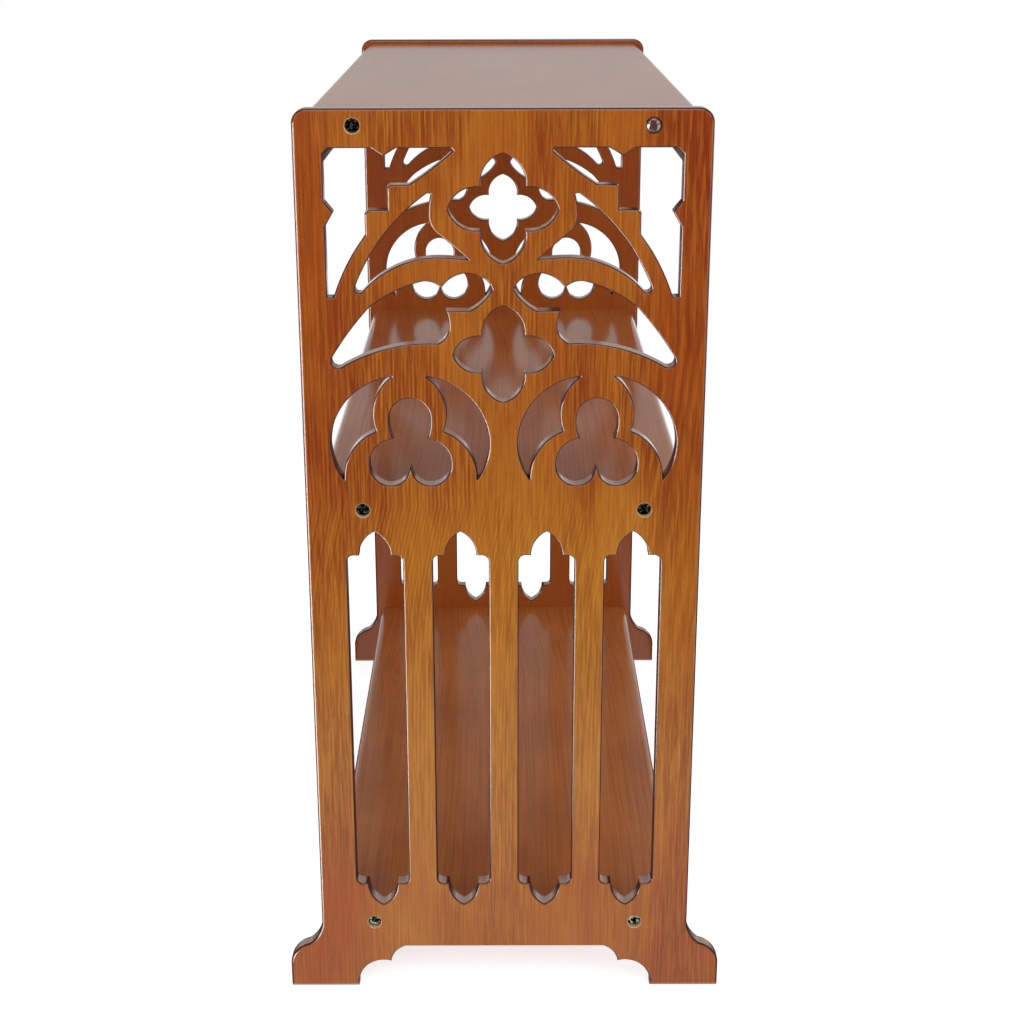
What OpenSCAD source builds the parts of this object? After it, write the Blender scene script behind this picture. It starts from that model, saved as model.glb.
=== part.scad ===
// Knock-down open stand: two fretwork end panels joined by three shelves.
// X runs along the shelves, Y across them and Z up. The origin is on the floor, under the middle.

/* [Stand] */
// Length over both end panels
overall_length = 767; // [650:1:1000]
// Depth over the end panels' stiles
panel_w = 334.6; // [310:0.2:380]
// Height of the end panels
panel_h = 800; // [760:1:900]
// Thickness of the end panels
panel_t = 15; // [14:0.5:22]

/* [Shelves] */
// Thickness of the three shelves
board_t = 18; // [16:0.5:22]
// How far the shelves' long edges stay inside the panels' edges
board_inset = 6.5; // [3:0.5:15]
// Drop from the end panels' top to the top board
top_lip = 4.5; // [2:0.5:12]
// Height of the middle shelf's upper face
middle_shelf_top = 475.5; // [470:0.5:490]
// Height of the bottom shelf's upper face
bottom_shelf_top = 77; // [70:0.5:90]

/* [End panels] */
// Radius of the panels' top corners
top_corner_r = 12; // [4:0.5:20]
// Width of the stile beside the tracery
stile_w = 23.9; // [20:0.1:28]
// Height of the solid rail above the tracery
top_rail_h = 31; // [30:0.5:45]
// Height of the solid rail from the middle shelf's upper face to the tracery
tracery_rail_h = 12.8; // [10:0.2:20]
// Depth of the outer layer that the tracery's corner webs stand behind
web_setback = 6; // [4:0.5:9]

/* [Lancet slots] */
// Width of the stile beside the outer slots
slot_stile_w = 33.3; // [30:0.1:38]
// Width of the bars between the slots
mullion_w = 25.6; // [20:0.1:34]
// Drop from the middle shelf's upper face to the slots' pointed heads
slot_head_drop = 28.5; // [24:0.5:40]
// Height of the slots' pointed feet above the bottom shelf's upper face
slot_foot_rise = 9.5; // [5:0.5:20]
// Height of a slot's pointed lobe
lobe_h = 21.5; // [16:0.5:26]
// Width of a slot's pointed lobe at its base
lobe_w = 26.4; // [22:0.2:32]
// Width of the flat ledge at each side of the lobe
ledge_w = 5.6; // [3:0.1:7]
// Height of the slots' shoulders beyond the ledges
shoulder_h = 6; // [4:0.5:10]

/* [Feet] */
// Spread of each foot beyond the stile
foot_spread = 30; // [20:0.5:45]
// Height of the feet's ogee above the floor
foot_ogee_h = 68; // [62:0.5:75]
// Height of the feet's straight outer end
foot_end_h = 25; // [15:0.5:32]
// Width of each foot on the floor
foot_w = 62.8; // [50:0.2:75]
// Height of the arch between the feet
arch_h = 41.8; // [36:0.2:50]
// Height of the arch's lower step
arch_step_h = 25.7; // [20:0.1:32]
// Width of the arch at its top
arch_w = 181; // [140:1:200]
// Reach of the arch's lower step beyond its top, at each side
arch_step_w = 14; // [8:0.5:22]

/* [Fasteners] */
// Distance from a panel's straight edge to its bolts
bolt_margin = 48.3; // [42:0.1:62]
// Diameter of the bolts' threads
bolt_d = 6; // [5:0.5:8]
// Length of the bolts below the head
bolt_l = 50; // [45:1:60]
// Diameter of the bolt heads
bolt_head_d = 10; // [9:0.5:11]
// Height of the bolt heads
bolt_head_h = 6; // [4:0.5:7]
// Width across the flats of the bolts' hex sockets
hex_socket_w = 5; // [4:0.5:5.5]
// Depth of the bolts' hex sockets
hex_socket_depth = 3; // [2:0.5:3.5]
// Depth from the panel's outer face to the bolt heads
bolt_head_recess = 4; // [2:0.5:5]
// Diameter of the barrel nuts
barrel_d = 10; // [9:0.5:12]
// Length of the barrel nuts
barrel_l = 13; // [11:0.5:14]
// Distance from a shelf's end to its barrel nuts
barrel_setback = 34; // [25:1:38]
// Distance from each bolt to the locating dowel beside it
dowel_gap = 49; // [20:1:70]
// Diameter of the locating dowels
dowel_d = 8; // [6:0.5:10]
// Length of the locating dowels
dowel_l = 30; // [26:1:40]
// Depth of the dowels' holes in the panels
dowel_seat = 10; // [8:0.5:12]
// Diameter of the screw-cover button's dome
button_d = 13.4; // [13:0.1:18]
// Height of the button's dome
button_dome_h = 2.4; // [1.5:0.1:4]

/* [Clearances] */
// Radial room round a bolt's head in its counterbore
head_clearance = 1; // [0.5:0.1:2]
// Radial room round a bolt's thread in the wood
thread_clearance = 0.25; // [0.1:0.05:0.5]
// Radial room round a barrel nut, a dowel or the button's plug
seat_clearance = 0.1; // [0.05:0.05:0.2]
// Room at the blind end of a hole
end_clearance = 0.3; // [0.2:0.1:0.8]

/* [Hidden] */
SIDES = ["left", "right"];
LEVELS = ["top", "middle", "bottom"];
PLACES = ["front", "back"];
function joint_names(piece) = [
    for (level = LEVELS, side = SIDES, place = PLACES) str(level, "_", side, "_", place, "_", piece)
];
$fn = 48;

oak = [0.64, 0.38, 0.15];
dark_oak = [0.42, 0.2, 0.1];
steel = [0.55, 0.55, 0.56];
zinc = [0.75, 0.75, 0.73];
beech = [0.85, 0.68, 0.45];

cut = 1;         // how far a cut runs past the face that it opens
curve_step = 4;  // longest straight step that an outline's arcs are made of
curve_turn = 18; // widest turn in degrees between two such steps
half_w = panel_w / 2;
half_l = overall_length / 2;
board_w = panel_w - 2 * board_inset;
bolt_across = half_w - bolt_margin;
dowel_across = bolt_across - dowel_gap;
board_l = overall_length - 2 * panel_t;
counterbore_r = bolt_head_d / 2 + head_clearance;
counterbore_depth = bolt_head_recess + bolt_head_h;
barrel_hole_depth = (board_t + barrel_l) / 2 + end_clearance;
SHELF_TOPS = [panel_h - top_lip, middle_shelf_top, bottom_shelf_top];

function sign_of(side) = side == "right" ? 1 : -1;
function along(place) = place == "back" ? 1 : -1;
function mid_height(level) = SHELF_TOPS[search([level], LEVELS)[0]] - board_t / 2;

// ---- Outlines -------------------------------------------------------------------------------
// An outline is a list of [across, up, rise]: the side from each point to the next is an arc whose
// middle stands off the straight line by the rise, to the left of the direction of travel, or is
// straight where the rise is 0. Every outline runs clockwise, so a positive rise opens a hole wider.

function arc(a, b, rise) =
    let (
        chord = norm(b - a),
        radius = (chord * chord / 4 + rise * rise) / (2 * rise),
        left = [a.y - b.y, b.x - a.x] / chord,
        centre = (a + b) / 2 + left * (rise - radius),
        sweep = -4 * atan(2 * rise / chord),
        start = atan2(a.y - centre.y, a.x - centre.x),
        steps = max(2, ceil(abs(radius * sweep) * PI / 180 / curve_step), ceil(abs(sweep) / curve_turn))
    )
    [
        for (i = [0:steps - 1])
            let (angle = start + sweep * i / steps)
            centre + abs(radius) * [cos(angle), sin(angle)]
    ];

// Rise of an arc that is a share of the distance between its ends
function share(a, b, part) = part * norm(b - a);

function trace(points) = [
    for (i = [0:len(points) - 1])
        let (
            a = [points[i].x, points[i].y],
            after = points[(i + 1) % len(points)],
            b = [after.x, after.y]
        )
        each points[i].z == 0 ? [a] : arc(a, b, points[i].z)
];

// ---- Tracery --------------------------------------------------------------------------------
// Drawn on a field 286.8 wide and 281 high, whose foot's middle is [0, 0], then fitted between the
// stiles and the rails.

field = [286.8, 281];
field_foot = middle_shelf_top + tracery_rail_h;
field_fit = [(panel_w - 2 * stile_w) / field.x, (panel_h - top_rail_h - field_foot) / field.y];

// The spandrel beside the upper quatrefoil, with a pendant from its top edge and a nib on its side
spandrel = [
    [39.7, 279, 0],
    [41.4, 281, 0],
    [84.5, 281, 0],
    [95.3, 274.6, 0],
    [105, 281, 0],
    [138.7, 281, 0],
    [143.4, 276.3, 0],
    [143.4, 239, 0],
    [136.9, 231, -0.4],
    [136.9, 229, 0],
    [143.2, 218.2, 0],
    [143, 161.2, 0],
    [138, 161.1, -2.5],
    [111, 211.7, 0],
    [111, 229.6, 0.7],
    [108.5, 232.1, 0],
    [92.6, 232.1, 0],
    [92.6, 250.6, 0.4],
    [91.1, 252, 0],
    [75.3, 252.3, 1]
];

// The triangular web in the spandrel's outer top corner, behind the outer layer
web = [
    [134.2, 282, 0],
    [144.4, 282, 0],
    [144.4, 269.4, 0],
    [143.4, 269.4, 0],
    [134.2, 281, 0]
];

// The sickle from the upper quatrefoil out to the stile
upper_sickle = [
    [57.8, 244.7, 0.2],
    [61, 245, 7],
    [120.4, 169.2, 3],
    [114.2, 166.3, -6.5],
    [56, 193.7, -0.5],
    [28.4, 191.8, 0.3],
    [51, 211.5, -3.1],
    [59.8, 230.7, -0.5]
];

// The sickle from the lower quatrefoil out to the stile, with a cusp hanging from its upper edge
lower_sickle = [
    [9, 167.2, 0.8],
    [14.5, 175.2, 1.3],
    [30.5, 180.5, 2.7],
    [50.3, 168.3, 1.8],
    [65, 174, 2.8],
    [109, 152.7, 1.4],
    [141, 110.2, 4.1],
    [133, 103, -6],
    [54, 122.5, 3],
    [44.4, 137.7, 0.6],
    [46.8, 150, 0],
    [27.5, 149.7, 1.8]
];

// The two four-lobed foils on the centre line: height of the middle, reach across and up from it,
// and the cusp between two lobes
upper_foil_up = 232.7;
lower_foil_up = 113.2;
upper_foil = [upper_foil_up, [44.2, 44], [17.8, 17.1]];
lower_foil = [lower_foil_up, [41, 40.5], [17, 15]];

function quatrefoil(foil) = [
    for (turn = [[1, 1], [1, -1], [-1, -1], [-1, 1]])
        let (
            upright = [0, foil[1].y * turn.y],
            level = [foil[1].x * turn.x, 0],
            from = turn.x * turn.y > 0 ? upright : level,
            to = turn.x * turn.y > 0 ? level : upright,
            notch = [foil[2].x * turn.x, foil[2].y * turn.y]
        )
        each [
            [from.x, foil[0] + from.y, share(from, notch, 0.19)],
            [notch.x, foil[0] + notch.y, share(notch, to, 0.19)]
        ]
];

// The lobed eye and the two horns round it, measured from the eye's own centre line
foil_offset = 78;
eye_half = [
    [0, 76, 5.2],
    [17.2, 57.7, 1.1],
    [13.9, 41, 5.6],
    [34, 20, 4.8],
    [19, 0.3, 2.2],
    [4, 6.7, 0.3]
];
eye_foot = [0, 16.7, 0.3];
horn = [
    [14.5, 94.4, 14],
    [66.2, 37.7, 2.5],
    [56, 5.7, -8],
    [28.3, 47.7, -8.3]
];

// An outline seen in a mirror, still running clockwise, so each rise moves to the point before it
function mirrored(points) = [
    for (i = [len(points) - 1:-1:0])
        [-points[i].x, points[i].y, points[(i + len(points) - 1) % len(points)].z]
];
function moved(points, by) = [for (p = points) [p.x + by, p.y, p.z]];
function closed_from_half(half, foot) = concat(half, [foot], [
    for (i = [len(half) - 1:-1:1]) [-half[i].x, half[i].y, half[i - 1].z]
]);

module fitted(points) {
    polygon([for (p = trace(points)) [p.x * field_fit.x, field_foot + p.y * field_fit.y]]);
}

module tracery() {
    fitted(quatrefoil(upper_foil));
    fitted(quatrefoil(lower_foil));
    for (hole = [spandrel, upper_sickle, lower_sickle]) {
        fitted(hole);
        fitted(mirrored(hole));
    }
    for (middle = [-foil_offset, foil_offset]) {
        fitted(moved(closed_from_half(eye_half, eye_foot), middle));
        fitted(moved(horn, middle));
        fitted(moved(mirrored(horn), middle));
    }
}

// ---- Slots ----------------------------------------------------------------------------------
slot_w = (panel_w - 2 * slot_stile_w - 3 * mullion_w) / 4;
slot_head = middle_shelf_top - slot_head_drop;
slot_foot = bottom_shelf_top + slot_foot_rise;

// Right half of a slot's end, from its tip outwards and down
slot_end = [
    [0, 0, lobe_h / 6],
    [lobe_w / 2, -lobe_h, 0],
    [lobe_w / 2 + ledge_w, -lobe_h, shoulder_h / 4],
    [slot_w / 2, -lobe_h - shoulder_h, 0]
];

// Right half of a slot from the tip of its head down to its foot, which is the same end upside down
slot_half = concat(
    [for (p = slot_end) [p.x, slot_head + p.y, p.z]],
    [
        for (i = [len(slot_end) - 1:-1:1])
            [slot_end[i].x, slot_foot - slot_end[i].y, slot_end[i - 1].z]
    ]
);

slot_tip = [0, slot_foot, slot_end[0].z];

module slots() {
    for (i = [0:3]) {
        polygon(trace(moved(closed_from_half(slot_half, slot_tip), (i - 1.5) * (slot_w + mullion_w))));
    }
}

// ---- Panel outline --------------------------------------------------------------------------
foot_reach = half_w + foot_spread;
foot_inner = foot_reach - foot_w;
foot_knee = [half_w + 0.4 * foot_spread, foot_end_h + 0.47 * (foot_ogee_h - foot_end_h)];
step_corner = [arch_w / 2 + arch_step_w, arch_step_h];

// Right half of the panel's outline, from the middle of its top, clockwise to the arch's middle
panel_half = [
    [0, panel_h, 0],
    [half_w - top_corner_r, panel_h, top_corner_r * (1 - sqrt(0.5))],
    [half_w, panel_h - top_corner_r, 0],
    [half_w, foot_ogee_h, -share([half_w, foot_ogee_h], foot_knee, 0.12)],
    [foot_knee.x, foot_knee.y, share(foot_knee, [foot_reach, foot_end_h], 0.155)],
    [foot_reach, foot_end_h, 0],
    [foot_reach, 0, 0],
    [foot_inner, 0, 0],
    [foot_inner, 2, -share([foot_inner, 2], step_corner, 0.265)],
    [step_corner.x, step_corner.y, -share(step_corner, [arch_w / 2, arch_h], 0.15)],
    [arch_w / 2, arch_h, 0]
];

module panel_outline() {
    polygon(trace(closed_from_half(panel_half, [0, arch_h, 0])));
}

// A shape drawn across and up, raised along the stand's length from one place to another
module lengthwise(from, to) {
    translate([from, 0, 0])
        rotate([90, 0, 90])
            linear_extrude(to - from)
                children();
}

// A rod along the stand's length
module rod(from, to, r, across, up) {
    translate([from, across, up])
        rotate([0, 90, 0])
            cylinder(r = r, h = to - from);
}

// One end panel, on the side of +X, with its outer face at half_l
module end_panel() {
    inner = half_l - panel_t;
    color(oak)
        difference() {
            union() {
                lengthwise(inner, half_l)
                    difference() {
                        panel_outline();
                        tracery();
                        slots();
                    }
                lengthwise(inner, half_l - web_setback) {
                    fitted(web);
                    fitted(mirrored(web));
                }
            }
            for (level = LEVELS, place = PLACES) {
                up = mid_height(level);
                bolt_y = along(place) * bolt_across;
                rod(half_l - counterbore_depth, half_l + cut, counterbore_r, bolt_y, up);
                rod(inner - cut, half_l - counterbore_depth + cut, bolt_d / 2 + thread_clearance, bolt_y, up);
                rod(inner - cut, inner + dowel_seat, dowel_d / 2 + seat_clearance,
                    along(place) * dowel_across, up);
            }
        }
}

// ---- Shelves --------------------------------------------------------------------------------
module shelf(level) {
    middle = mid_height(level);
    straight = board_w - board_t;
    color(dark_oak)
        difference() {
            lengthwise(-board_l / 2, board_l / 2)
                union() {
                    translate([-straight / 2, middle - board_t / 2])
                        square([straight, board_t]);
                    for (hand = [-1, 1]) {
                        translate([hand * straight / 2, middle])
                            circle(r = board_t / 2);
                    }
                }
            for (side = SIDES, place = PLACES) {
                end = sign_of(side) * board_l / 2;
                bolt_y = along(place) * bolt_across;
                bolt_end = sign_of(side) * (half_l - counterbore_depth - bolt_l - end_clearance);
                dowel_end = sign_of(side) * (board_l / 2 - (dowel_l - dowel_seat) - 2 * end_clearance);
                past = end + sign_of(side) * cut;
                rod(min(bolt_end, past), max(bolt_end, past), bolt_d / 2 + thread_clearance, bolt_y, middle);
                rod(min(dowel_end, past), max(dowel_end, past), dowel_d / 2 + seat_clearance,
                    along(place) * dowel_across, middle);
                translate([end - sign_of(side) * barrel_setback, bolt_y, middle - board_t / 2 - cut])
                    cylinder(r = barrel_d / 2 + seat_clearance, h = barrel_hole_depth + cut);
            }
        }
}

// ---- Fasteners ------------------------------------------------------------------------------
// Each is drawn for the +X end of its joint and turned about Z for the other end.
module at_side(side) {
    if (side == "right") {
        children();
    } else {
        rotate([0, 0, 180])
            children();
    }
}

module bolt(level, side, place) {
    across = sign_of(side) * along(place) * bolt_across;
    up = mid_height(level);
    seat = half_l - counterbore_depth;
    color(steel)
        at_side(side)
            difference() {
                union() {
                    rod(seat, seat + bolt_head_h, bolt_head_d / 2, across, up);
                    rod(seat - bolt_l, seat + cut, bolt_d / 2, across, up);
                }
                translate([seat + bolt_head_h - hex_socket_depth, across, up])
                    rotate([0, 90, 0])
                        cylinder(d = hex_socket_w / cos(30), h = hex_socket_depth + cut, $fn = 6);
            }
}

module barrel_nut(level, side, place) {
    across = sign_of(side) * along(place) * bolt_across;
    up = mid_height(level);
    middle = board_l / 2 - barrel_setback;
    color(zinc)
        at_side(side)
            difference() {
                translate([middle, across, up - barrel_l / 2])
                    cylinder(d = barrel_d, h = barrel_l);
                rod(middle - barrel_d, middle + barrel_d, bolt_d / 2 + seat_clearance / 2, across, up);
            }
}

module dowel(level, side, place) {
    across = sign_of(side) * along(place) * dowel_across;
    tip = half_l - panel_t + dowel_seat - end_clearance;
    color(beech)
        at_side(side)
            rod(tip - dowel_l, tip, dowel_d / 2, across, mid_height(level));
}

// The button closes the counterbore over the top front bolt of the right end panel
module screw_cover_button() {
    plug_r = counterbore_r - seat_clearance;
    plug_l = bolt_head_recess - end_clearance;
    dome_r = (button_d * button_d / 4 + button_dome_h * button_dome_h) / (2 * button_dome_h);
    color(dark_oak)
        translate([half_l, bolt_across, mid_height("top")])
            rotate([0, 90, 0])
                union() {
                    translate([0, 0, -plug_l])
                        cylinder(r = plug_r, h = plug_l + button_dome_h / 4);
                    intersection() {
                        cylinder(d = button_d, h = button_dome_h);
                        translate([0, 0, button_dome_h - dome_r])
                            sphere(r = dome_r);
                    }
                }
}

// ---- Assembly -------------------------------------------------------------------------------
end_panel();  // right_end_panel
rotate([0, 0, 180]) end_panel();  // left_end_panel
shelf("top");  // top_board
shelf("middle");  // middle_shelf
shelf("bottom");  // bottom_shelf
for (level = LEVELS, side = SIDES, place = PLACES) {
    name = str(level, "_", side, "_", place);
    bolt(level, side, place);
    barrel_nut(level, side, place);
    dowel(level, side, place);
}
screw_cover_button();
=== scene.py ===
# %% [markdown]
# # An open fretwork stand
# The stand is two pierced oak end panels and three shelves, drawn together by bolts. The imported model
# already holds every solid at its true size, so this lesson only dresses it: each panel and shelf gets
# a new skin with softened edges, and each surface a finish made from nodes. Lengths are in metres, X
# runs along the shelves, Y across them and Z up.

import bpy
import numpy as np
from mathutils import Matrix, Vector
from mathutils.geometry import delaunay_2d_cdt


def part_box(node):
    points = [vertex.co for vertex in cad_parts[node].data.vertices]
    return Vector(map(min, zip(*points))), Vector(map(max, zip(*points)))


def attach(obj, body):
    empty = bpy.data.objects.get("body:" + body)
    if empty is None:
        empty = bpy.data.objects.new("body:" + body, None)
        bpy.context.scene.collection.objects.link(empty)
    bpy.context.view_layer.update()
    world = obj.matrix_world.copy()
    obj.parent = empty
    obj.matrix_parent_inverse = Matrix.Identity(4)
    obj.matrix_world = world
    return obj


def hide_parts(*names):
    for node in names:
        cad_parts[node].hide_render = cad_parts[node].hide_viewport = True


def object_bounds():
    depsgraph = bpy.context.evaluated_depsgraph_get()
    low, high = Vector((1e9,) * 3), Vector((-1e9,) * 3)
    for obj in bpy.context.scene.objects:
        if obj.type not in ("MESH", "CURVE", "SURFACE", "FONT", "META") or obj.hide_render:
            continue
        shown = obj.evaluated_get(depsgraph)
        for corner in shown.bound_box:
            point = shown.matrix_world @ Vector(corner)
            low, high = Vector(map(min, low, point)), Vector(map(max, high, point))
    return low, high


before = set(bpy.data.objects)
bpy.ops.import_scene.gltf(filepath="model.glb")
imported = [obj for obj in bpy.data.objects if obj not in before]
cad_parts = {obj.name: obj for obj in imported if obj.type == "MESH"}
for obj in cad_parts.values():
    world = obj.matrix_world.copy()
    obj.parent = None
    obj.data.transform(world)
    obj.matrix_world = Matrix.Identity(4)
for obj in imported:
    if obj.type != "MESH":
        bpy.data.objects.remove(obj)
cad_low, cad_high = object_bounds()
MM = 0.001
inner_face, outer_face = [corner.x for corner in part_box("right_end_panel")]
print("stand", [round(v / MM, 1) for v in cad_high - cad_low], "mm;",
      "panels", round((outer_face - inner_face) / MM, 1), "mm thick")

# %% [markdown]
# ## The camera
# The stand is seen from just beyond one end, a little above its top, with a normal lens. The camera
# looks down by about nineteen degrees, so the shelves show as long slopes behind the fretwork. Its
# three directions are worked out as unit vectors and put into one matrix, which is clearer than three
# turns in the right order.

# %% Camera
DISTANCE, EYE_Y, EYE_Z = 1.4278, -0.00025, 0.95074   # from the near panel's face, and over the floor
TILT, PAN, ROLL = 0.32798, -0.001906, 0.002586       # radians: down, towards +Y, clockwise
LENS_PER_SENSOR = 1783.84 / 1024
FRAME_SHIFT = 0.01166, 0.00025                       # parts of the frame, right and up

forward = np.array([-np.cos(TILT) * np.cos(PAN), np.cos(TILT) * np.sin(PAN), -np.sin(TILT)])
level_right = np.cross(forward, [0, 0, 1])
level_right /= np.linalg.norm(level_right)
level_down = np.cross(forward, level_right)
right = np.cos(ROLL) * level_right + np.sin(ROLL) * level_down
down = np.cross(forward, right)
camera_data = bpy.data.cameras.new("camera")
camera_data.sensor_width = 36
camera_data.lens = LENS_PER_SENSOR * camera_data.sensor_width
camera_data.shift_x, camera_data.shift_y = FRAME_SHIFT
camera_data.clip_end = 100      # metres, so that the far floor is not cut off
camera = bpy.data.objects.new("camera", camera_data)
axes = np.column_stack([right, -down, -forward])
standpoint = outer_face + DISTANCE, EYE_Y, EYE_Z
camera.matrix_world = Matrix.Translation(standpoint) @ Matrix(axes.tolist()).to_4x4()
bpy.context.scene.collection.objects.link(camera)
bpy.context.scene.camera = camera
bpy.context.scene.view_settings.view_transform = "Standard"
print("lens", round(camera_data.lens, 1), "mm")

# %% [markdown]
# ## Short names for nodes
# A finish is a tree of nodes. Writing each node out takes four or five lines, so a few small helpers
# add a node, plug its sockets and hand back what it puts out. A socket may be given a number, a colour
# or another node's output, and the helper decides between setting and linking.

# %% Node helpers
def plug(tree, socket, value):
    """Links an output into the socket, or sets the socket to a plain value."""
    if isinstance(value, bpy.types.NodeSocket):
        tree.links.new(value, socket)
    else:
        socket.default_value = value


def add(tree, kind, inputs=(), **settings):
    """A new node of that kind with its settings and its sockets filled by name or number."""
    node = tree.nodes.new("ShaderNode" + kind)
    for name, value in settings.items():
        setattr(node, name, value)
    for key, value in dict(inputs).items():
        plug(tree, node.inputs[key], value)
    return node


def calc(tree, operation, *values, kind="Math"):
    """One operation on numbers, or on vectors where the kind is VectorMath."""
    return add(tree, kind, enumerate(values), operation=operation).outputs[0]


def total(tree, first, *others):
    """All the numbers added up."""
    for other in others:
        first = calc(tree, "ADD", first, other)
    return first


def product(tree, first, *others):
    """All the numbers multiplied together."""
    for other in others:
        first = calc(tree, "MULTIPLY", first, other)
    return first


def less(tree, value, taken):
    """The value with the other taken away."""
    return calc(tree, "SUBTRACT", value, taken)


def unsigned(tree, value):
    """The value without its sign."""
    return calc(tree, "ABSOLUTE", value)


def step(tree, value, low, high, start=0.0, end=1.0):
    """Goes smoothly from start to end as the value goes from low to high."""
    ends = {0: value, 1: low, 2: high, 3: start, 4: end}
    return add(tree, "MapRange", ends, interpolation_type="SMOOTHSTEP").outputs[0]


def between(tree, share, a, b):
    """The number a, changed towards b by that share."""
    return add(tree, "Mix", {0: share, 2: a, 3: b}, data_type="FLOAT").outputs[0]


def mix(tree, share, a, b):
    """Colour a, changed towards b by that share."""
    return add(tree, "Mix", {0: share, 6: a, 7: b}, data_type="RGBA").outputs[2]


def noise(tree, place, size, detail=2.0, roughness=0.5, shift=(0.0, 0.0, 0.0)):
    """Cloudy noise from 0 to 1 whose blobs are about size long on each axis of place."""
    moved = calc(tree, "ADD", place, shift, kind="VectorMath")
    scaled = calc(tree, "DIVIDE", moved, size, kind="VectorMath")
    node = add(tree, "TexNoise", {"Vector": scaled, "Scale": 1.0, "Detail": detail, "Roughness": roughness})
    return node.outputs[0]


def rgb(red, green, blue):
    """A colour written in the usual 0 to 255 steps, as the linear values that the shader takes."""
    value = np.array([red, green, blue]) / 255
    linear = np.where(value <= 0.04045, value / 12.92, ((value + 0.055) / 1.055) ** 2.4)
    return (*linear.tolist(), 1.0)


def empty_tree(owner):
    """Turns nodes on for a material or the world and clears them."""
    owner.use_nodes = True
    owner.node_tree.nodes.clear()
    return owner.node_tree


def new_material(name):
    """A material, its tree and its shader."""
    material = bpy.data.materials.new(name)
    tree = empty_tree(material)
    shader = add(tree, "BsdfPrincipled")
    add(tree, "OutputMaterial", {"Surface": shader.outputs[0]})
    return material, tree, shader


def millimetres(tree):
    """The place on the piece in millimetres, as a vector and as its X, Y and Z."""
    metres = add(tree, "TexCoord").outputs["Object"]
    place = calc(tree, "MULTIPLY", metres, (1000, 1000, 1000), kind="VectorMath")
    return place, *add(tree, "SeparateXYZ", {0: place}).outputs


# %% [markdown]
# ## Oak
# A panel is a flat cut through a tree's yearly rings. At each place the distance to the tree's heart
# says how far through a ring it lies, and where the cut dips towards the heart the rings show as nested
# flames. So the grain is one formula: the distance from the heart, with a depth that changes along the
# board, bent a little by noise. Open pores are short dark dashes along the grain, denser where each
# ring begins.

# %% Oak grain
def flame_distance(tree, across, along, heart, eye, closing, taper, reach):
    """Distance in the cut from the heart line. Above the eye it is the root of the squares of the way
    across and of a depth that grows to 12 mm, which closes the rings there and leaves them straight
    farther up. Below it a taper is added instead, up to a reach, which draws them out into nested
    points."""
    deepest, rounding = 12.0, 9.0
    rise = calc(tree, "MAXIMUM", less(tree, along, eye), 0.0)
    fall = calc(tree, "MAXIMUM", less(tree, eye, along), 0.0)
    above = product(tree, calc(tree, "TANH", product(tree, rise, closing / deepest)), deepest)
    below = product(tree, calc(tree, "TANH", product(tree, fall, taper / reach)), reach)
    sideways = less(tree, across, heart)
    squares = total(tree, calc(tree, "POWER", sideways, 2.0), calc(tree, "POWER", above, 2.0), rounding)
    return total(tree, calc(tree, "SQRT", squares), below)


def grain_place(tree, across, along, through):
    """The place as across, along and through the grain, for noise that is drawn out along it."""
    return add(tree, "CombineXYZ", {0: across, 1: along, 2: through}).outputs[0]


def grain_lines(tree, distance, along, through, pitch):
    """Lines that follow the rings and differ in width and depth: noise that changes quickly with the
    distance and hardly at all along the board. 1 is a dark line."""
    place = grain_place(tree, distance, along, through)
    return step(tree, noise(tree, place, (pitch, 240, 40), detail=4.0, roughness=0.66), 0.4, 0.68)


def ring_shade(tree, distance, pitch):
    """1 where a ring begins, fading to 0 over its width, from the part of the distance over the pitch."""
    share = calc(tree, "FRACT", calc(tree, "DIVIDE", distance, pitch))
    return product(tree, step(tree, share, 0.0, 0.2), step(tree, share, 0.2, 0.9, 1.0, 0.0))


def bent(tree, place, across, sizes):
    """The way across after the grain's own wander: each size is how wide, how long and how far."""
    for wide, long, far in sizes:
        wander = noise(tree, place, (wide, long, wide), detail=1.0)
        across = total(tree, across, product(tree, less(tree, wander, 0.5), far))
    return across


# %% [markdown]
# ## The end panels' veneer
# Each end panel is faced with oak veneer in two leaves. The wide one has a flame below the left eye and
# straight lines beside it, and the narrow one along the right edge has broad, drifting bands. Every
# line leans a little as it goes through the panel, so that it runs on over a rounded edge rather than
# stopping there. The lines come from the formulas of the last cell, and short streaks lie between them.

# %% Veneer leaves
WIDE_LEAF = -77, 470, 0.5, 0.24, 26        # heart, eye, closing, taper and reach of its flame, in mm
NARROW_LEAF = 186, 610, 0.16, 0.12, 30
WIDE_WANDER = (120, 700, 7), (22, 160, 1.8)     # how wide, how long and how far the lines wander
NARROW_WANDER = (60, 240, 20), (20, 90, 5)
LEAF_JOINT = 121.5, 122.5                  # mm across, where the narrow leaf begins
LEAN = 0.35                                # across for each mm through the panel


def veneer(tree, through, across, along):
    """Dark lines, rings and short streaks of the two leaves, each from 0 to 1."""
    place = grain_place(tree, across, along, through)
    slanted = total(tree, across, product(tree, through, LEAN))
    wavy = bent(tree, place, slanted, WIDE_WANDER)
    drifting = bent(tree, place, slanted, NARROW_WANDER)
    wide = flame_distance(tree, wavy, along, *WIDE_LEAF)
    narrow = flame_distance(tree, drifting, along, *NARROW_LEAF)
    leaf = step(tree, across, *LEAF_JOINT)
    lines = between(tree, leaf, grain_lines(tree, wide, along, through, 1.4),
                    grain_lines(tree, narrow, along, through, 4.0))
    rings = between(tree, leaf, ring_shade(tree, wide, 3.3), ring_shade(tree, narrow, 6.6))
    streak_place = grain_place(tree, wavy, along, through)
    streaks = step(tree, noise(tree, streak_place, (1.8, 42, 3), detail=3.0, roughness=0.6), 0.4, 0.62)
    return lines, rings, streaks


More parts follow.
